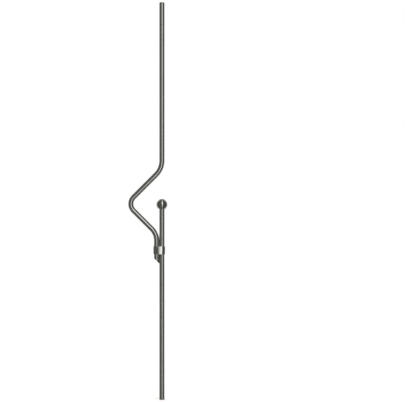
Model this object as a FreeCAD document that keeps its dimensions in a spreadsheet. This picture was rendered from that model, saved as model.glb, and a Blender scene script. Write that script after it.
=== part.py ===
import FreeCAD, Part
import math
import os
import Sketcher

# A stair baluster of round bar. A tall bar is bent out to a knee and back, and a shorter straight bar with
# a ball on its top stands beside it. A flat-oval collar holds the two together, and the bent bar ends in
# a sawn mitre just below it.
# Millimetres. Z is up along the bars. The origin is the middle of the foot, and the knee points to -X.

# Driving dimensions
sizes = {
    "bar_diameter": 12.0,
    "overall_height": 900.0,
    "end_chamfer": 1.0,
    "knee_height": 443.5,
    "knee_reach": 79.5,
    "bend_angle": 45.0,
    "upper_bend_radius": 45.0,
    "knee_bend_radius": 22.0,
    "lower_bend_radius": 38.0,
    "tail_below_collar": 9.0,
    "mitre_angle": 45.0,
    "mitre_edge_break": 0.3,
    "ball_diameter": 25.0,
    "ball_below_knee": 1.5,
    "ball_bore_depth": 14.0,
    "ball_bore_clearance": 0.05,
    "ball_mouth_chamfer": 0.3,
    "collar_height": 18.0,
    "collar_wall": 1.5,
    "collar_below_bend": 12.8,
    "collar_clearance": 0.05,
    "collar_edge_break": 0.4,
}

doc = FreeCAD.newDocument("stair_baluster")
sheet = doc.addObject("Spreadsheet::Sheet", "Sizes")
for row, (alias, value) in enumerate(sizes.items(), start=1):
    sheet.set(f"A{row}", alias)
    sheet.set(f"B{row}", str(value))
    sheet.setAlias(f"B{row}", alias)
doc.recompute()

# Sizes that follow from the driving ones. Heights are worked out downwards from the knee.
bars_apart = "(Sizes.bar_diameter + Sizes.collar_clearance)"
bar_radius = "(Sizes.bar_diameter / 2)"
ball_radius = "(Sizes.ball_diameter / 2)"
bore_radius = f"({bar_radius} + Sizes.ball_bore_clearance)"
bore_floor = f"(Sizes.ball_bore_depth - {ball_radius})"
ball_height = "(Sizes.knee_height - Sizes.ball_below_knee)"
leg_slope = "tan(Sizes.bend_angle * 1 deg)"
upper_corner_height = f"(Sizes.knee_height + Sizes.knee_reach / {leg_slope})"
lower_corner_height = f"(Sizes.knee_height - (Sizes.knee_reach - {bars_apart}) / {leg_slope})"
bend_end_height = f"({lower_corner_height} - Sizes.lower_bend_radius * tan(Sizes.bend_angle * 0.5 deg))"
collar_foot_height = f"({bend_end_height} - Sizes.collar_below_bend - Sizes.collar_height)"
heel_height = f"({collar_foot_height} - Sizes.tail_below_collar)"
mitre_slope = "tan(Sizes.mitre_angle * 1 deg)"
tip_height = f"({heel_height} - Sizes.bar_diameter * {mitre_slope})"
uncut_end_height = f"({tip_height} - Sizes.bar_diameter)"

# How constraints name the places on a line or arc, and a sketch's own axes and origin point
start_point, end_point, centre_point = range(1, 4)
x_axis, z_axis = range(-1, -3, -1)
origin_point = (x_axis, start_point)

up = FreeCAD.Vector(0, 0, 1)
down = FreeCAD.Vector(0, 0, -1)
same_way = 0.01  # radians between two directions that count as one


def new_body(label):
    body = doc.addObject("PartDesign::Body", label)
    body.Label = label
    return body


def new_sketch(body, name, role, height="0"):
    """A sketch on one of the body's own origin planes, raised along the plane's normal by the height."""
    sketch = body.newObject("Sketcher::SketchObject", name)
    plane = next(plane for plane in body.Origin.OriginFeatures if plane.Role == role)
    sketch.AttachmentSupport = [(plane, "")]
    sketch.MapMode = "FlatFace"
    sketch.setExpression("AttachmentOffset.Base.z", height)
    return sketch


def value_of(owner, expression):
    return float(owner.evalExpression(expression))


def point(owner, across, along):
    return FreeCAD.Vector(value_of(owner, across), value_of(owner, along), 0)


def add_size(sketch, name, expression, kind, *where):
    """A named dimension in a sketch that follows the sheet."""
    value = value_of(sketch, expression)
    if kind == "Angle":
        value = FreeCAD.Units.Quantity(f"{value} deg")
    index = sketch.addConstraint(Sketcher.Constraint(kind, *where, value))
    sketch.renameConstraint(index, name)
    sketch.setExpression(f"Constraints.{name}", expression)


def join(sketch, kind, *where):
    sketch.addConstraint(Sketcher.Constraint(kind, *where))


def add_lines(sketch, corners):
    """Lines from corner to corner, each joined to the one before it."""
    lines = [sketch.addGeometry(Part.LineSegment(start, end), False)
             for start, end in zip(corners, corners[1:])]
    for before, after in zip(lines, lines[1:]):
        join(sketch, "Coincident", before, end_point, after, start_point)
    return lines


def add_circle(sketch, radius):
    """A circle about the sketch's origin point."""
    circle = Part.Circle(FreeCAD.Vector(0, 0, 0), up, value_of(sketch, radius))
    index = sketch.addGeometry(circle, False)
    join(sketch, "Coincident", index, centre_point, *origin_point)
    add_size(sketch, "radius", radius, "Radius", index)


def edge_names(shape, wanted):
    numbered = enumerate(shape.Edges, start=1)
    return [f"Edge{number}" for number, edge in numbered if any(edge.isSame(one) for one in wanted)]


def rim_of_flat_face(shape, direction):
    """The outer edges of the flat face that lies furthest along a direction."""
    flat = [face for face in shape.Faces if isinstance(face.Surface, Part.Plane)]
    facing = [face for face in flat if face.normalAt(0, 0).getAngle(direction) < same_way]
    furthest = max(facing, key=lambda face: face.CenterOfMass.dot(direction))
    return furthest.OuterWire.Edges


def chamfer_edges(body, name, edges, size):
    """A chamfer on some edges of the body's last feature."""
    base = body.Tip
    chamfer = body.newObject("PartDesign::Chamfer", name)
    chamfer.Base = (base, edge_names(base.Shape, edges))
    chamfer.setExpression("Size", size)
    body.Tip = chamfer
    doc.recompute()


# The bent bar

bent_bar = new_body("bent_bar")

# Centre line from the top down: four straight runs, then a bend at each corner between them
path = new_sketch(bent_bar, "bent_bar_path", "XZ_Plane")
corners = [
    point(path, "0", "Sizes.overall_height"),
    point(path, "0", upper_corner_height),
    point(path, "-Sizes.knee_reach", "Sizes.knee_height"),
    point(path, f"-{bars_apart}", lower_corner_height),
    point(path, f"-{bars_apart}", uncut_end_height),
]
upper_run, upper_leg, lower_leg, lower_run = add_lines(path, corners)
join(path, "PointOnObject", upper_run, start_point, z_axis)
join(path, "PointOnObject", upper_run, end_point, z_axis)
join(path, "Vertical", lower_run)
add_size(path, "overall_height", "Sizes.overall_height",
         "DistanceY", *origin_point, upper_run, start_point)
add_size(path, "upper_corner_height", upper_corner_height,
         "DistanceY", *origin_point, upper_run, end_point)
add_size(path, "knee_height", "Sizes.knee_height",
         "DistanceY", *origin_point, upper_leg, end_point)
add_size(path, "knee_reach", "Sizes.knee_reach",
         "DistanceX", upper_leg, end_point, *origin_point)
add_size(path, "lower_corner_height", lower_corner_height,
         "DistanceY", *origin_point, lower_leg, end_point)
add_size(path, "bars_apart", bars_apart,
         "DistanceX", lower_leg, end_point, *origin_point)
add_size(path, "uncut_end_height", uncut_end_height,
         "DistanceY", *origin_point, lower_run, end_point)
doc.recompute()

for before, bend in ((upper_run, "upper_bend"), (upper_leg, "knee_bend"), (lower_leg, "lower_bend")):
    radius = f"Sizes.{bend}_radius"
    path.fillet(before, end_point, value_of(path, radius), True, True)
    arc = max(n for n, shape in enumerate(path.Geometry) if isinstance(shape, Part.ArcOfCircle))
    add_size(path, f"{bend}_radius", radius, "Radius", arc)
doc.recompute()

section = new_sketch(bent_bar, "bent_bar_section", "XY_Plane", "Sizes.overall_height")
add_circle(section, bar_radius)

bar = bent_bar.newObject("PartDesign::AdditivePipe", "bent_bar_sweep")
bar.Profile = section
bar.Spine = path
doc.recompute()

# The lower end is sawn on a slant, from its heel down to its tip beside the other bar. What is cut off is
# a triangle below the slant, which reaches a bar's radius past the heel and past the uncut end.
mitre = new_sketch(bent_bar, "mitre_profile", "XZ_Plane")
outer_side_offset = f"({bars_apart} + Sizes.bar_diameter)"
floor_height = f"({uncut_end_height} - {bar_radius})"
slant_top_height = f"({heel_height} + {bar_radius} * {mitre_slope})"
slant_end_offset = f"(({slant_top_height} - {floor_height}) / {mitre_slope} - {outer_side_offset})"
triangle = [
    point(mitre, f"-{outer_side_offset}", floor_height),
    point(mitre, slant_end_offset, floor_height),
    point(mitre, f"-{outer_side_offset}", slant_top_height),
]
floor_side, slant_side, outer_side = add_lines(mitre, triangle + triangle[:1])
join(mitre, "Coincident", outer_side, end_point, floor_side, start_point)
join(mitre, "Horizontal", floor_side)
join(mitre, "Vertical", outer_side)
add_size(mitre, "outer_side_offset", outer_side_offset,
         "DistanceX", floor_side, start_point, *origin_point)
add_size(mitre, "floor_height", floor_height,
         "DistanceY", *origin_point, floor_side, start_point)
add_size(mitre, "slant_top_height", slant_top_height,
         "DistanceY", *origin_point, outer_side, start_point)
add_size(mitre, "mitre_angle", "180 deg - Sizes.mitre_angle * 1 deg",
         "Angle", slant_side)
doc.recompute()

sawn = bent_bar.newObject("PartDesign::Pocket", "mitre_cut")
sawn.Profile = mitre
sawn.Type = "ThroughAll"
sawn.Midplane = True
bent_bar.Tip = sawn
doc.recompute()

slant_normal = FreeCAD.Rotation(FreeCAD.Vector(0, 1, 0), sizes["mitre_angle"]).multVec(down)
sawn_rim = rim_of_flat_face(bent_bar.Tip.Shape, slant_normal)
chamfer_edges(bent_bar, "mitre_edge", sawn_rim, "Sizes.mitre_edge_break")
top_rim = rim_of_flat_face(bent_bar.Tip.Shape, up)
chamfer_edges(bent_bar, "bent_bar_end", top_rim, "Sizes.end_chamfer")


# The straight bar, from the foot up to the floor of the ball's bore

lower_bar = new_body("lower_bar")
section = new_sketch(lower_bar, "lower_bar_section", "XY_Plane")
add_circle(section, bar_radius)
bar = lower_bar.newObject("PartDesign::Pad", "lower_bar_length")
bar.Profile = section
bar.setExpression("Length", f"{ball_height} + {bore_floor}")
doc.recompute()
both_rims = rim_of_flat_face(bar.Shape, up) + rim_of_flat_face(bar.Shape, down)
chamfer_edges(lower_bar, "lower_bar_ends", both_rims, "Sizes.end_chamfer")


# The ball, turned and then drilled from below

ball_finial = new_body("ball_finial")
ball_finial.setExpression("Placement.Base.z", ball_height)
profile = new_sketch(ball_finial, "ball_profile", "XZ_Plane")
half_circle = Part.ArcOfCircle(
    Part.Circle(FreeCAD.Vector(0, 0, 0), up, value_of(profile, ball_radius)),
    math.radians(-90),
    math.radians(90))
rim = profile.addGeometry(half_circle, False)
axis = profile.addGeometry(Part.LineSegment(half_circle.EndPoint, half_circle.StartPoint), False)
join(profile, "Coincident", rim, centre_point, *origin_point)
join(profile, "Coincident", rim, end_point, axis, start_point)
join(profile, "Coincident", axis, end_point, rim, start_point)
join(profile, "PointOnObject", rim, end_point, z_axis)
join(profile, "PointOnObject", rim, start_point, z_axis)
add_size(profile, "radius", ball_radius, "Radius", rim)

ball = ball_finial.newObject("PartDesign::Revolution", "ball_turning")
ball.Profile = profile
ball.ReferenceAxis = (profile, ["V_Axis"])
ball.Angle = 360
doc.recompute()

bore = new_sketch(ball_finial, "bore_section", "XY_Plane", bore_floor)
add_circle(bore, bore_radius)
drilled = ball_finial.newObject("PartDesign::Pocket", "ball_bore")
drilled.Profile = bore
drilled.Type = "ThroughAll"
ball_finial.Tip = drilled
doc.recompute()

bore_wall = next(face for face in drilled.Shape.Faces if isinstance(face.Surface, Part.Cylinder))
mouth = min(bore_wall.Edges, key=lambda edge: edge.CenterOfMass.z)
chamfer_edges(ball_finial, "ball_mouth", [mouth], "Sizes.ball_mouth_chamfer")


# The collar, a flat-oval sleeve round both bars

collar = new_body("collar")
collar.setExpression("Placement.Base.z", collar_foot_height)
outline = new_sketch(collar, "collar_section", "XY_Plane")


def add_flat_oval(sketch, name, radius):
    """Two half circles about the two bars, joined by straight sides. The first is about the origin."""
    far = value_of(sketch, bars_apart)
    reach = value_of(sketch, radius)
    quarter = math.radians(90)
    straight_bar_side = Part.Circle(FreeCAD.Vector(0, 0, 0), up, reach)
    bent_bar_side = Part.Circle(FreeCAD.Vector(-far, 0, 0), up, reach)
    right = sketch.addGeometry(Part.ArcOfCircle(straight_bar_side, -quarter, quarter), False)
    back = sketch.addGeometry(
        Part.LineSegment(FreeCAD.Vector(0, reach, 0), FreeCAD.Vector(-far, reach, 0)), False)
    left = sketch.addGeometry(Part.ArcOfCircle(bent_bar_side, quarter, 3 * quarter), False)
    front = sketch.addGeometry(
        Part.LineSegment(FreeCAD.Vector(-far, -reach, 0), FreeCAD.Vector(0, -reach, 0)), False)
    for before, after in ((right, back), (back, left), (left, front), (front, right)):
        join(sketch, "Tangent", before, end_point, after, start_point)
    join(sketch, "Coincident", right, centre_point, *origin_point)
    join(sketch, "PointOnObject", left, centre_point, x_axis)
    add_size(sketch, f"{name}_centres", bars_apart, "DistanceX", left, centre_point, *origin_point)
    add_size(sketch, f"{name}_radius", radius, "Radius", right)


collar_inside = f"{bar_radius} + Sizes.collar_clearance"
add_flat_oval(outline, "inside", collar_inside)
add_flat_oval(outline, "outside", f"{collar_inside} + Sizes.collar_wall")
sleeve = collar.newObject("PartDesign::Pad", "collar_sleeve")
sleeve.Profile = outline
sleeve.setExpression("Length", "Sizes.collar_height")
doc.recompute()
both_rims = rim_of_flat_face(sleeve.Shape, up) + rim_of_flat_face(sleeve.Shape, down)
chamfer_edges(collar, "collar_edges", both_rims, "Sizes.collar_edge_break")


# Nothing is written unless every object is sound
doc.recompute()
pieces = [bent_bar, lower_bar, ball_finial, collar]
for thing in doc.Objects:
    if "Invalid" in thing.State or "Error" in thing.State:
        raise RuntimeError(f"{thing.Label} failed: {thing.State}")
for piece in pieces:
    if piece.Shape.isNull() or not piece.Shape.isValid() or len(piece.Shape.Solids) != 1:
        raise RuntimeError(f"{piece.Label} is not one sound solid")

os.makedirs("parts", exist_ok=True)
for piece in pieces:
    piece.Shape.exportStep(f"parts/{piece.Label}.step")
    box = piece.Shape.optimalBoundingBox(False, False)
    print(f"{piece.Label}: {piece.Shape.Volume:.1f} mm3, "
          f"x {box.XMin:.2f} to {box.XMax:.2f}, y {box.YMin:.2f} to {box.YMax:.2f}, "
          f"z {box.ZMin:.2f} to {box.ZMax:.2f}")
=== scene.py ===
import math

import bmesh
import bpy
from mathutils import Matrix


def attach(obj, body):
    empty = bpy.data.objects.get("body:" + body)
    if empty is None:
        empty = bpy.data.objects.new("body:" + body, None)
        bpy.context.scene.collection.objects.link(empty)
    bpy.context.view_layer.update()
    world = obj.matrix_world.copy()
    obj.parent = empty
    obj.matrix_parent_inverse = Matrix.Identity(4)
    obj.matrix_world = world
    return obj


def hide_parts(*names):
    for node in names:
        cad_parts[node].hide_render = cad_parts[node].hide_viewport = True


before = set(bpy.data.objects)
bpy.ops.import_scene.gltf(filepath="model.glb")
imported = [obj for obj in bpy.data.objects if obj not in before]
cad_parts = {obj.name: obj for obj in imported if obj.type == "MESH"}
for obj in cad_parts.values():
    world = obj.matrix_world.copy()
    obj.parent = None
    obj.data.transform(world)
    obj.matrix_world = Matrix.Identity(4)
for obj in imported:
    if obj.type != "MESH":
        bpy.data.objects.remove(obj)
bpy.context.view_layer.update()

# A stair baluster of round steel bar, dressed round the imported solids.
# Z is up, the origin is the middle of the foot, and the knee points to -X. The dictionaries hold millimetres
# and degrees, and the meshes are in metres.
scene = bpy.context.scene
mm = 0.001


def toLinear(hexColour):
    channels = [int(hexColour[i:i + 2], 16) / 255 for i in (1, 3, 5)]
    return (*[c / 12.92 if c <= 0.04045 else ((c + 0.055) / 1.055) ** 2.4 for c in channels], 1.0)


def addNode(tree, kind, inputs=None, **settings):
    # inputs go by identifier, or in a list by their order. Each is a plain value, an output, or a node,
    # whose first output in use is linked.
    node = tree.nodes.new(kind)
    for name, value in settings.items():
        setattr(node, name, value)
    sockets = {socket.identifier: socket for socket in node.inputs}
    if isinstance(inputs, list):
        inputs = dict(zip(sockets, inputs))
    for name, value in (inputs or {}).items():
        if isinstance(value, bpy.types.Node):
            value = next(socket for socket in value.outputs if socket.enabled)
        if isinstance(value, bpy.types.NodeSocket):
            tree.links.new(value, sockets[name])
        else:
            sockets[name].default_value = value
    return node


# Finishes. The marks of each have a colour and a roughness of their own. A pattern's size is that of its
# grain along each axis, and its height is how far it stands out. It runs from none to full within the
# contrast on each side of the noise's middle.

patternRoughness = 0.55  # how much the finer layers of every noise count


def newMaterial(name):
    material = bpy.data.materials.new(name)
    material.use_nodes = True
    material.node_tree.nodes.clear()
    return material


def addPattern(tree, coords, pattern):
    placed = addNode(tree, "ShaderNodeMapping", {
        "Vector": coords, "Scale": [1 / (length * mm) for length in pattern["size"]]})
    noise = addNode(tree, "ShaderNodeTexNoise", {
        "Vector": placed, "Scale": 1.0, "Detail": pattern["detail"], "Roughness": patternRoughness})
    return addNode(tree, "ShaderNodeMapRange", {
        "Value": noise, "From Min": 0.5 - pattern["contrast"], "From Max": 0.5 + pattern["contrast"]})


def addSteel(tree, look, coords, tangent=None):
    patterns = {name: addPattern(tree, coords, look[name]) for name in ("waves", "marks") if name in look}
    colour = addNode(tree, "ShaderNodeMix", {
        "Factor_Float": patterns["marks"],
        "A_Color": toLinear(look["colour"]),
        "B_Color": toLinear(look["markColour"])}, data_type="RGBA")
    roughness = addNode(tree, "ShaderNodeMapRange", {
        "Value": patterns["marks"], "To Min": look["roughness"], "To Max": look["markRoughness"]})
    inputs = {"Base Color": colour, "Metallic": 1.0, "Roughness": roughness}
    for name, pattern in patterns.items():
        bump = {"Height": pattern, "Distance": look[name]["height"] * mm, "Strength": 1.0}
        if "Normal" in inputs:
            bump["Normal"] = inputs["Normal"]
        inputs["Normal"] = addNode(tree, "ShaderNodeBump", bump)
    if tangent:
        inputs.update({
            "Anisotropic": look["anisotropy"],
            "Anisotropic Rotation": look["anisotropyTurn"],
            "Tangent": tangent})
    steel = addNode(tree, "ShaderNodeBsdfPrincipled", inputs)
    addNode(tree, "ShaderNodeOutputMaterial", {"Surface": steel})


def makeSteel(name, look):
    material = newMaterial(name)
    coords = addNode(material.node_tree, "ShaderNodeTexCoord").outputs["Object"]
    addSteel(material.node_tree, look, coords)
    return material


# Steel bar, drawn, then ground and polished along its length: a soft mirror with one crisp highlight down
# the bar. The lengthwise marks blur what it mirrors sideways only. Real ones are about 0.1 mm apart, too
# fine to show, so they are drawn four times as coarse.
groundSteelLook = {
    "colour": "#cacac8",
    "markColour": "#bbbab7",
    "roughness": 0.09,
    "markRoughness": 0.15,
    "anisotropy": 0.4,
    "anisotropyTurn": 0.25,  # of a full turn from the tangent
    "waves": {"size": (5.0, 5.0, 110.0), "height": 0.006, "detail": 1.0, "contrast": 0.3},
    "marks": {"size": (0.4, 0.4, 50.0), "height": 0.0006, "detail": 4.0, "contrast": 0.16},
}


def makeGroundSteel(look):
    material = newMaterial("groundSteel")
    tree = material.node_tree
    # the bar as it was before it was bent: X and Y across it, Z along it
    coords = addNode(tree, "ShaderNodeAttribute", attribute_name="barCoords").outputs["Vector"]
    tangent = addNode(tree, "ShaderNodeAttribute", attribute_name="barTangent").outputs["Vector"]
    addSteel(tree, look, coords, tangent)
    return material


groundSteel = makeGroundSteel(groundSteelLook)

# Saw-cut bar end, dressed with a file: duller than the sides, with straight marks across the cut.
sawnSteelLook = {
    "colour": "#a9a8a5",
    "markColour": "#8e8d8a",
    "roughness": 0.34,
    "markRoughness": 0.48,
    "marks": {"size": (0.35, 14.0, 0.35), "height": 0.01, "detail": 3.0, "contrast": 0.2},
}
sawnSteel = makeSteel("sawnSteel", sawnSteelLook)

# Turned ball, mirror polished: hardly any blur, with the faint rings of the lathe round its upright axis.
polishedBallLook = {
    "colour": "#bbbbb9",
    "markColour": "#b1b0ad",
    "roughness": 0.05,
    "markRoughness": 0.09,
    "marks": {"size": (40.0, 40.0, 0.5), "height": 0.0003, "detail": 2.0, "contrast": 0.25},
}
polishedBallSteel = makeSteel("polishedBallSteel", polishedBallLook)

# Sleeve cut from pressed tube and brushed round and round with a fine belt: satin, with level marks.
brushedSleeveLook = {
    "colour": "#cacac8",
    "markColour": "#b8b7b4",
    "roughness": 0.15,
    "markRoughness": 0.24,
    "waves": {"size": (4.0, 4.0, 6.0), "height": 0.004, "detail": 2.0, "contrast": 0.3},
    "marks": {"size": (9.0, 9.0, 0.22), "height": 0.0012, "detail": 4.0, "contrast": 0.2},
}
brushedSleeveSteel = makeSteel("brushedSleeveSteel", brushedSleeveLook)
print("finishes made")


# Shapes

smoothUpTo = 30.0  # sharper edges stay crisp
mergeWithin = 0.0001  # nearer points become one


def newPiece(name, mesh, node, slot, *materials):
    mesh.polygons.foreach_set("use_smooth", [True] * len(mesh.polygons))
    mesh.set_sharp_from_angle(angle=math.radians(smoothUpTo))
    for material in materials:
        mesh.materials.append(material)
    piece = bpy.data.objects.new(name, mesh)
    scene.collection.objects.link(piece)
    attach(piece, "root")
    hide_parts(node)


def meshFromRings(name, rings, closed=False):
    # rings of equally many points in mm, each joined to the next, and the last to the first where closed
    around = len(rings[0])
    faces = [(row * around + i, row * around + (i + 1) % around,
              (row + 1) % len(rings) * around + (i + 1) % around, (row + 1) % len(rings) * around + i)
             for row in range(len(rings) if closed else len(rings) - 1) for i in range(around)]
    mesh = bpy.data.meshes.new(name)
    mesh.from_pydata([(x * mm, y * mm, z * mm) for ring in rings for x, y, z in ring], [], faces)
    shape = bmesh.new()
    shape.from_mesh(mesh)
    bmesh.ops.remove_doubles(shape, verts=shape.verts, dist=mergeWithin * mm)
    bmesh.ops.recalc_face_normals(shape, faces=shape.faces)
    shape.to_mesh(mesh)
    shape.free()
    return mesh


# The bars: round bar swept along a path of straight runs and round bends. Each path point says the radius
# of the bend there, the share of the bar's radius that its ring has, and whether its ring lies in the
# slanted saw cut.

def makeBarTree():
    tree = bpy.data.node_groups.new("roundBarAlongPath", "GeometryNodeTree")
    inputKinds = {
        "Path": "Geometry", "Bar Radius": "Float", "Cut Heel X": "Float", "Cut Slope": "Float",
        "Steps Round": "Int", "Steps In A Bend": "Int", "Bar Steel": "Material", "Cut Steel": "Material"}
    for name, kind in inputKinds.items():
        tree.interface.new_socket(name, in_out="INPUT", socket_type=f"NodeSocket{kind}")
    tree.interface.new_socket("Bar", in_out="OUTPUT", socket_type="NodeSocketGeometry")
    given = tree.nodes.new("NodeGroupInput").outputs
    attributeKinds = {
        "bendRadius": "FLOAT", "ringScale": "FLOAT", "inCut": "FLOAT", "barLength": "FLOAT",
        "ringPlace": "FLOAT_VECTOR"}
    carried = {name: addNode(tree, "GeometryNodeInputNamedAttribute", {"Name": name}, data_type=kind)
               for name, kind in attributeKinds.items()}

    line = addNode(tree, "GeometryNodeMeshToCurve", {"Mesh": given["Path"]})
    bent = addNode(tree, "GeometryNodeFilletCurve", {
        "Curve": line, "Count": given["Steps In A Bend"], "Radius": carried["bendRadius"]}, mode="POLY")
    length = addNode(tree, "GeometryNodeSplineParameter").outputs["Length"]
    bent = addNode(tree, "GeometryNodeStoreNamedAttribute", {
        "Geometry": bent, "Name": "barLength", "Value": length}, data_type="FLOAT")
    tangent = addNode(tree, "GeometryNodeInputTangent")
    bent = addNode(tree, "GeometryNodeStoreNamedAttribute", {
        "Geometry": bent, "Name": "barTangent", "Value": tangent}, data_type="FLOAT_VECTOR")

    place = addNode(tree, "GeometryNodeInputPosition")
    ring = addNode(tree, "GeometryNodeCurvePrimitiveCircle", {
        "Resolution": given["Steps Round"], "Radius": given["Bar Radius"]}, mode="RADIUS")
    ring = addNode(tree, "GeometryNodeStoreNamedAttribute", {
        "Geometry": ring, "Name": "ringPlace", "Value": place}, data_type="FLOAT_VECTOR")
    swept = addNode(tree, "GeometryNodeCurveToMesh", {
        "Curve": bent, "Profile Curve": ring, "Scale": carried["ringScale"], "Fill Caps": True})

    # the slanted cut: its rings drop by the slope times their distance from the heel
    across = addNode(tree, "ShaderNodeSeparateXYZ", [place]).outputs["X"]
    past = addNode(tree, "ShaderNodeMath", [given["Cut Heel X"], across], operation="SUBTRACT")
    drop = addNode(tree, "ShaderNodeMath", [past, given["Cut Slope"]], operation="MULTIPLY")
    cut = addNode(tree, "GeometryNodeSetPosition", {
        "Geometry": swept,
        "Selection": carried["inCut"],
        "Offset": addNode(tree, "ShaderNodeCombineXYZ", {"Z": drop})})

    # what the finish reads: the bar straightened out
    flat = addNode(tree, "ShaderNodeSeparateXYZ", [carried["ringPlace"]]).outputs
    straight = addNode(tree, "ShaderNodeCombineXYZ", [flat["X"], flat["Y"], carried["barLength"]])
    cut = addNode(tree, "GeometryNodeStoreNamedAttribute", {
        "Geometry": cut, "Name": "barCoords", "Value": straight}, data_type="FLOAT_VECTOR")
    for name in carried:
        cut = addNode(tree, "GeometryNodeRemoveAttribute", {"Geometry": cut, "Name": name})

    # the sides have four corners, so a face with more is one of the two ends
    corners = addNode(tree, "GeometryNodeInputMeshFaceNeighbors")
    isEnd = addNode(tree, "ShaderNodeMath", [corners, 4.0], operation="GREATER_THAN")
    real = addNode(tree, "GeometryNodeRealizeInstances", {"Geometry": cut})
    steel = addNode(tree, "GeometryNodeSetMaterial", {"Geometry": real, "Material": given["Bar Steel"]})
    steel = addNode(tree, "GeometryNodeSetMaterial", {
        "Geometry": steel, "Selection": isEnd, "Material": given["Cut Steel"]})
    addNode(tree, "NodeGroupOutput", [steel])
    return tree


def sweepBar(name, tree, path, values):
    # path points are (x, z, bend radius, ring scale, in the cut) in mm
    across, heights, bends, scales, cuts = zip(*path)
    line = bpy.data.meshes.new(name + "Path")
    line.from_pydata([(x * mm, 0, z * mm) for x, z in zip(across, heights)],
                     [(i, i + 1) for i in range(len(path) - 1)], [])
    pointValues = {"bendRadius": [radius * mm for radius in bends], "ringScale": scales, "inCut": cuts}
    for attribute, numbers in pointValues.items():
        line.attributes.new(attribute, "FLOAT", "POINT").data.foreach_set("value", numbers)
    carrier = bpy.data.objects.new(name + "Carrier", line)
    scene.collection.objects.link(carrier)
    sweep = carrier.modifiers.new("sweep", "NODES")
    sweep.node_group = tree
    for socket in tree.interface.items_tree:
        if socket.name in values:
            sweep[socket.identifier] = values[socket.name]
    bpy.context.view_layer.update()
    evaluated = carrier.evaluated_get(bpy.context.evaluated_depsgraph_get())
    mesh = bpy.data.meshes.new_from_object(evaluated)
    mesh.name = name
    bpy.data.objects.remove(carrier)
    return mesh


# Both bars are cut from one stock.
barStock = {
    "diameter": 12.0,
    "endChamfer": 1.0,
    "stepsRound": 96,
    "stepsInABend": 40,
}
bentBar = {
    "top": 900.0,
    "kneeHeight": 443.5,
    "kneeReach": 79.5,
    "bendAngle": 45.0,
    "upperBendRadius": 45.0,
    "kneeBendRadius": 22.0,
    "lowerBendRadius": 38.0,
    "collarBelowBend": 12.8,
    "collarHeight": 18.0,
    "tailBelowCollar": 9.0,
    "mitreAngle": 45.0,
    "mitreEdgeBreak": 0.3,
    "cutLeadIn": 0.6,
}
lowerBar = {
    "foot": 0.0,
    "gap": 0.05,  # beside the bent bar
}
barRadius = barStock["diameter"] / 2
barsApart = barStock["diameter"] + lowerBar["gap"]
chamferScale = 1 - barStock["endChamfer"] / barRadius
barTree = makeBarTree()
barValues = {
    "Bar Radius": barRadius * mm,
    "Cut Heel X": -(barsApart + barRadius) * mm,
    "Cut Slope": math.tan(math.radians(bentBar["mitreAngle"])),
    "Steps Round": barStock["stepsRound"],
    "Steps In A Bend": barStock["stepsInABend"],
    "Bar Steel": groundSteel,
    "Cut Steel": sawnSteel,
}

# The bent bar: below the knee, each height hangs from the one above
legSlope = math.tan(math.radians(bentBar["bendAngle"]))
upperCorner = bentBar["kneeHeight"] + bentBar["kneeReach"] / legSlope
lowerCorner = bentBar["kneeHeight"] - (bentBar["kneeReach"] - barsApart) / legSlope
bendEnd = lowerCorner - bentBar["lowerBendRadius"] * math.tan(math.radians(bentBar["bendAngle"] / 2))
collarTop = bendEnd - bentBar["collarBelowBend"]
collarFoot = collarTop - bentBar["collarHeight"]
heelHeight = collarFoot - bentBar["tailBelowCollar"]
edgeHeight = heelHeight + bentBar["mitreEdgeBreak"]
breakScale = 1 - bentBar["mitreEdgeBreak"] / barRadius
bentPath = [
    (0, bentBar["top"], 0, chamferScale, 0),
    (0, bentBar["top"] - barStock["endChamfer"], 0, 1, 0),
    (0, upperCorner, bentBar["upperBendRadius"], 1, 0),
    (-bentBar["kneeReach"], bentBar["kneeHeight"], bentBar["kneeBendRadius"], 1, 0),
    (-barsApart, lowerCorner, bentBar["lowerBendRadius"], 1, 0),
    (-barsApart, edgeHeight + bentBar["cutLeadIn"], 0, 1, 0),
    (-barsApart, edgeHeight, 0, 1, 1),
    (-barsApart, heelHeight, 0, breakScale, 1),
]
bentMesh = sweepBar("bentBarSteel", barTree, bentPath, barValues)
newPiece("bentBarSteel", bentMesh, "bent_bar", "bar_steel")

# The lower bar, from the foot up to the floor of the ball's bore
ball = {
    "diameter": 25.0,
    "belowKnee": 1.5,
    "boreDepth": 14.0,
    "boreClearance": 0.05,
    "mouthChamfer": 0.3,
    "stepsRound": 128,
    "arcSteps": 72,
}
ballRadius = ball["diameter"] / 2
ballHeight = bentBar["kneeHeight"] - ball["belowKnee"]
boreFloor = ballHeight + ball["boreDepth"] - ballRadius
lowerPath = [
    (0, lowerBar["foot"], 0, chamferScale, 0),
    (0, lowerBar["foot"] + barStock["endChamfer"], 0, 1, 0),
    (0, boreFloor - barStock["endChamfer"], 0, 1, 0),
    (0, boreFloor, 0, chamferScale, 0),
]
lowerMesh = sweepBar("lowerBarSteel", barTree, lowerPath, barValues)
newPiece("lowerBarSteel", lowerMesh, "lower_bar", "bar_steel")
print("bars swept")


# The ball, turned about its upright axis and drilled from below

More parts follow.
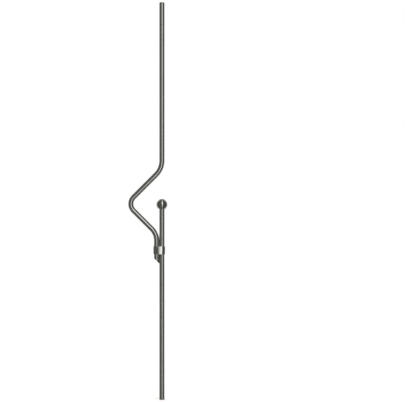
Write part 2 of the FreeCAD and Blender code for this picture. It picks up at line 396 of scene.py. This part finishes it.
boreRadius = barRadius + ball["boreClearance"]
mouthAngle = math.asin((boreRadius + ball["mouthChamfer"]) / ballRadius)
mouthHeight = ballHeight - ballRadius * math.cos(mouthAngle)
ballProfile = []
for step in range(ball["arcSteps"] + 1):
    angle = (math.pi - mouthAngle) * step / ball["arcSteps"]
    ballProfile.append((ballRadius * math.sin(angle), ballHeight + ballRadius * math.cos(angle)))
ballProfile += [
    (boreRadius, mouthHeight + ball["mouthChamfer"]),
    (boreRadius, boreFloor),
    (0, boreFloor),
]
ballTurns = [2 * math.pi * i / ball["stepsRound"] for i in range(ball["stepsRound"])]
ballRings = [[(radius * math.cos(turn), radius * math.sin(turn), height) for turn in ballTurns]
             for radius, height in ballProfile]
ballMesh = meshFromRings("ballSteel", ballRings)
newPiece("ballSteel", ballMesh, "ball_finial", "ball_steel", polishedBallSteel)
print("ball turned")


# The collar, a sleeve pressed from tube. Its sides bulge a little between the bars, as pressed tube does.

collar = {
    "wall": 1.5,
    "clearance": 0.05,
    "edgeBreak": 0.4,
    "sideRadius": 120.0,
    "crestHeight": 0.95,
    "crestRound": 0.04,
    "crestEven": 0.85,  # share of the crest's fall that is even
    "crestRunOut": 4,  # power by which the rest falls
    "crestTop": -9.0,
    "crestFoot": -7.2,
    "crestReach": (-16.0, 2.6),
    "arcSteps": 48,
    "heightSteps": 12,
}


def flatOval(offset):
    # a quarter turn and more round each bar, and a shallow arc of the side radius between them
    endRadius = barRadius + collar["clearance"] + offset
    sideRadius = collar["sideRadius"] + offset
    halfApart = barsApart / 2
    tilt = math.asin(halfApart / (sideRadius - endRadius))
    sideCentre = (sideRadius - endRadius) * math.cos(tilt)
    quarter = math.pi / 2
    arcs = [
        (0, 0, endRadius, -quarter + tilt, quarter - tilt),
        (-halfApart, -sideCentre, sideRadius, quarter - tilt, quarter + tilt),
        (-barsApart, 0, endRadius, quarter + tilt, 3 * quarter - tilt),
        (-halfApart, sideCentre, sideRadius, 3 * quarter - tilt, 3 * quarter + tilt),
    ]
    points = []
    for x, y, radius, start, end in arcs:
        for step in range(collar["arcSteps"]):
            angle = start + (end - start) * step / collar["arcSteps"]
            points.append((x + radius * math.cos(angle), y + radius * math.sin(angle)))
    return points


def crestOut(x, height):
    # how far the pressing's crest, a blunt ridge a little off upright, stands out of the front side: it
    # falls evenly at first, and steeper where it runs out round the bars
    lean = (collarTop - height) / bentBar["collarHeight"]
    ridge = collar["crestTop"] + (collar["crestFoot"] - collar["crestTop"]) * lean
    leftEnd, rightEnd = collar["crestReach"]
    share = min((ridge - x) / (ridge - leftEnd) if x < ridge else (x - ridge) / (rightEnd - ridge), 1)
    blunt = collar["crestRound"]
    even = (math.hypot(share, blunt) - blunt) / (math.hypot(1, blunt) - blunt)
    runOut = share ** collar["crestRunOut"]
    return collar["crestHeight"] * (1 - collar["crestEven"] * even - (1 - collar["crestEven"]) * runOut)


edgeBreak = collar["edgeBreak"]
sideHeight = bentBar["collarHeight"] - 2 * edgeBreak
wallSection = [
    (0, collarFoot),
    (collar["wall"] - edgeBreak, collarFoot),
    *[(collar["wall"], collarFoot + edgeBreak + sideHeight * step / collar["heightSteps"])
      for step in range(collar["heightSteps"] + 1)],
    (collar["wall"] - edgeBreak, collarTop),
    (0, collarTop),
]
collarRings = []
for offset, height in wallSection:
    ring = []
    for x, y in flatOval(offset):
        isFront = offset > 0 and y < 0
        ring.append((x, y - crestOut(x, height) if isFront else y, height))
    collarRings.append(ring)
collarMesh = meshFromRings("collarSteel", collarRings, closed=True)
newPiece("collarSteel", collarMesh, "collar", "collar_steel", brushedSleeveSteel)
print("collar pressed")


# Camera: level, at the photo's scale, a little to the right of the bars and at half height

photo = {
    "width": 405,
    "pixelsPerMm": 0.441,
    "across": 92.0,
    "height": 450.1,
    "distance": 2000.0,
    "tilt": 90.0,  # level
}
camera = bpy.data.objects.new("camera", bpy.data.cameras.new("camera"))
scene.collection.objects.link(camera)
camera.location = (photo["across"] * mm, -photo["distance"] * mm, photo["height"] * mm)
camera.rotation_euler = (math.radians(photo["tilt"]), 0, 0)
widthSeen = photo["width"] / photo["pixelsPerMm"]
camera.data.lens = camera.data.sensor_width * photo["distance"] / widthSeen
scene.camera = camera


# Floor and lamp

stage = {
    "floorSize": 12000.0,
    "floorColour": "#f0f0ee",
    "floorLift": 0.12,  # glow that only the camera sees
    "lampStrength": 0.5,
    "lampAngle": 30.0,
    "lampTurn": (42.0, 0.0, 35.0),
}
half = stage["floorSize"] * mm / 2
floorMesh = bpy.data.meshes.new("floor")
floorMesh.from_pydata(
    [(-half, -half, 0), (half, -half, 0), (half, half, 0), (-half, half, 0)], [], [(0, 1, 2, 3)])
floor = bpy.data.objects.new("floor", floorMesh)
scene.collection.objects.link(floor)
floor.visible_glossy = False

# Matt pale paint
floorPaint = newMaterial("floorPaint")
tree = floorPaint.node_tree
matt = addNode(tree, "ShaderNodeBsdfDiffuse", {"Color": toLinear(stage["floorColour"])})
seen = addNode(tree, "ShaderNodeLightPath").outputs["Is Camera Ray"]
lift = addNode(tree, "ShaderNodeMath", [seen, stage["floorLift"]], operation="MULTIPLY")
glow = addNode(tree, "ShaderNodeEmission", {"Strength": lift})
both = addNode(tree, "ShaderNodeAddShader", [matt, glow])
addNode(tree, "ShaderNodeOutputMaterial", {"Surface": both})
floorMesh.materials.append(floorPaint)

lamp = bpy.data.objects.new("softLamp", bpy.data.lights.new("softLamp", "SUN"))
lamp.data.energy = stage["lampStrength"]
lamp.data.angle = math.radians(stage["lampAngle"])
lamp.rotation_euler = [math.radians(angle) for angle in stage["lampTurn"]]
lamp.visible_glossy = False
scene.collection.objects.link(lamp)

# What the steel mirrors: a dim room in front, a grey backdrop behind, an upright strip of light beside the
# camera and one on each side behind. Each pair is a place and what is there. Turns are degrees round the
# object from the front to the right, and other places run from -1 to 1 along an axis. The front strip's
# middle and width change with the height, so that it is a flame on the ball, and its profile runs across its
# width. What stands behind fades towards the ceiling and the floor.
room = {
    "plain": "#ffffff",  # what the camera and the floor see
    "front": (
        (-90, "#5e5e5b"), (-72, "#62625e"), (-50, "#6b6b66"), (-38, "#73736e"), (-20, "#6c6c67"),
        (-6, "#767670"), (24, "#686866"), (44, "#5c5c5b"), (90, "#5a5a59"),
    ),
    "back": (
        (0.0, "#5a5a58"), (0.1, "#686866"), (0.33, "#8c8c8a"), (0.6, "#a4a4a2"), (0.8, "#c0c0be"),
        (1.0, "#dcdcda"),
    ),
    "backFrom": -0.12,
    "backFull": 0.08,
    "backBand": ((150, 1.0), (168, 0.3)),
    "backStrips": ((136, 0.0), (142, 1.0), (150, 1.0), (156, 0.0)),
    "backStripStrength": 1.2,
    "backFade": ((0.6, 1.0), (0.85, 0.0)),
    "stripStrength": 2.2,
    "stripMiddles": ((-1.0, 0.09), (0.0, 0.325), (1.0, 0.07)),
    "stripWidths": (
        (-1.0, 0.02), (-0.6, 0.18), (-0.3, 0.26), (-0.12, 0.33), (0.05, 0.44), (0.25, 0.53), (0.6, 0.66),
        (0.8, 0.48), (1.0, 0.05),
    ),
    "stripProfile": ((-0.4, 0.0), (-0.3, 0.6), (-0.19, 1.0), (0.19, 1.0), (0.3, 0.6), (0.4, 0.0)),
    "stripEnd": -0.4,
}
frontTurns = (-90, 90)
turnsToBack = (0, 180)
wholeAxis = (-1, 1)
halfAxis = (0, 1)
stripReach = (-0.5, 0.5)


def addRamp(tree, value, reach, stops, curve="LINEAR"):
    # a line through stops that lie within the reach, as grey levels or as colours
    low, high = reach
    share = addNode(tree, "ShaderNodeMapRange", {"Value": value, "From Min": low, "From Max": high})
    ramp = addNode(tree, "ShaderNodeValToRGB", [share])
    ramp.color_ramp.interpolation = curve
    elements = ramp.color_ramp.elements
    for number, (place, level) in enumerate(stops):
        place = (place - low) / (high - low)
        element = elements[number] if number < len(elements) else elements.new(place)
        element.position = place
        element.color = toLinear(level) if isinstance(level, str) else (level, level, level, 1.0)
    return ramp


world = bpy.data.worlds.new("room")
scene.world = world
world.use_nodes = True
# the world is sampled by the surfaces alone, so that the plain white never lights the steel
world.cycles.sampling_method = "NONE"
tree = world.node_tree
tree.nodes.clear()
direction = addNode(tree, "ShaderNodeTexCoord").outputs["Generated"]
axes = addNode(tree, "ShaderNodeSeparateXYZ", [direction]).outputs
frontward = addNode(tree, "ShaderNodeMath", [axes["Y"], -1.0], operation="MULTIPLY")
turned = addNode(tree, "ShaderNodeMath", [axes["X"], frontward], operation="ARCTAN2")
turn = addNode(tree, "ShaderNodeMath", [turned], operation="DEGREES")
besides = addNode(tree, "ShaderNodeMath", [turn], operation="ABSOLUTE")
steep = addNode(tree, "ShaderNodeMath", [axes["Z"]], operation="ABSOLUTE")

# the walls: what lies in front by its turn, and what lies behind by how far back it is
fade = addRamp(tree, steep, halfAxis, room["backFade"], "EASE")
backWall = addNode(tree, "ShaderNodeMix", {
    "Factor_Float": fade,
    "A_Color": addRamp(tree, axes["Y"], halfAxis, room["back"], "B_SPLINE"),
    "B_Color": addRamp(tree, besides, turnsToBack, room["backBand"])},
    data_type="RGBA", blend_type="MULTIPLY")
isBack = addNode(tree, "ShaderNodeMapRange", {
    "Value": axes["Y"], "From Min": room["backFrom"], "From Max": room["backFull"]})
walls = addNode(tree, "ShaderNodeMix", {
    "Factor_Float": isBack,
    "A_Color": addRamp(tree, turn, frontTurns, room["front"]),
    "B_Color": backWall}, data_type="RGBA")

# the strips of light
middle = addRamp(tree, axes["Z"], wholeAxis, room["stripMiddles"], "B_SPLINE")
width = addRamp(tree, axes["Z"], wholeAxis, room["stripWidths"], "B_SPLINE")
sideways = addNode(tree, "ShaderNodeMath", [axes["X"], middle], operation="SUBTRACT")
across = addNode(tree, "ShaderNodeMath", [sideways, width], operation="DIVIDE")
frontShape = addRamp(tree, across, stripReach, room["stripProfile"])
inFront = addNode(tree, "ShaderNodeMapRange", {
    "Value": frontward, "From Min": room["stripEnd"], "From Max": 0.0})
frontLight = addNode(tree, "ShaderNodeMath", [inFront, room["stripStrength"]], operation="MULTIPLY")
frontStrip = addNode(tree, "ShaderNodeMath", [frontShape, frontLight], operation="MULTIPLY")
backShape = addRamp(tree, besides, turnsToBack, room["backStrips"])
backLight = addNode(tree, "ShaderNodeMath", [fade, room["backStripStrength"]], operation="MULTIPLY")
backStrips = addNode(tree, "ShaderNodeMath", [backShape, backLight], operation="MULTIPLY")
strips = addNode(tree, "ShaderNodeMath", [frontStrip, backStrips], operation="ADD")

dim = addNode(tree, "ShaderNodeAddShader", [
    addNode(tree, "ShaderNodeBackground", {"Color": walls}),
    addNode(tree, "ShaderNodeBackground", {"Strength": strips})])
plain = addNode(tree, "ShaderNodeBackground", {"Color": toLinear(room["plain"])})
inMetal = addNode(tree, "ShaderNodeLightPath").outputs["Is Glossy Ray"]
mixed = addNode(tree, "ShaderNodeMixShader", [inMetal, plain, dim])
addNode(tree, "ShaderNodeOutputWorld", {"Surface": mixed})
scene.view_settings.view_transform = "Standard"
print("stage set")
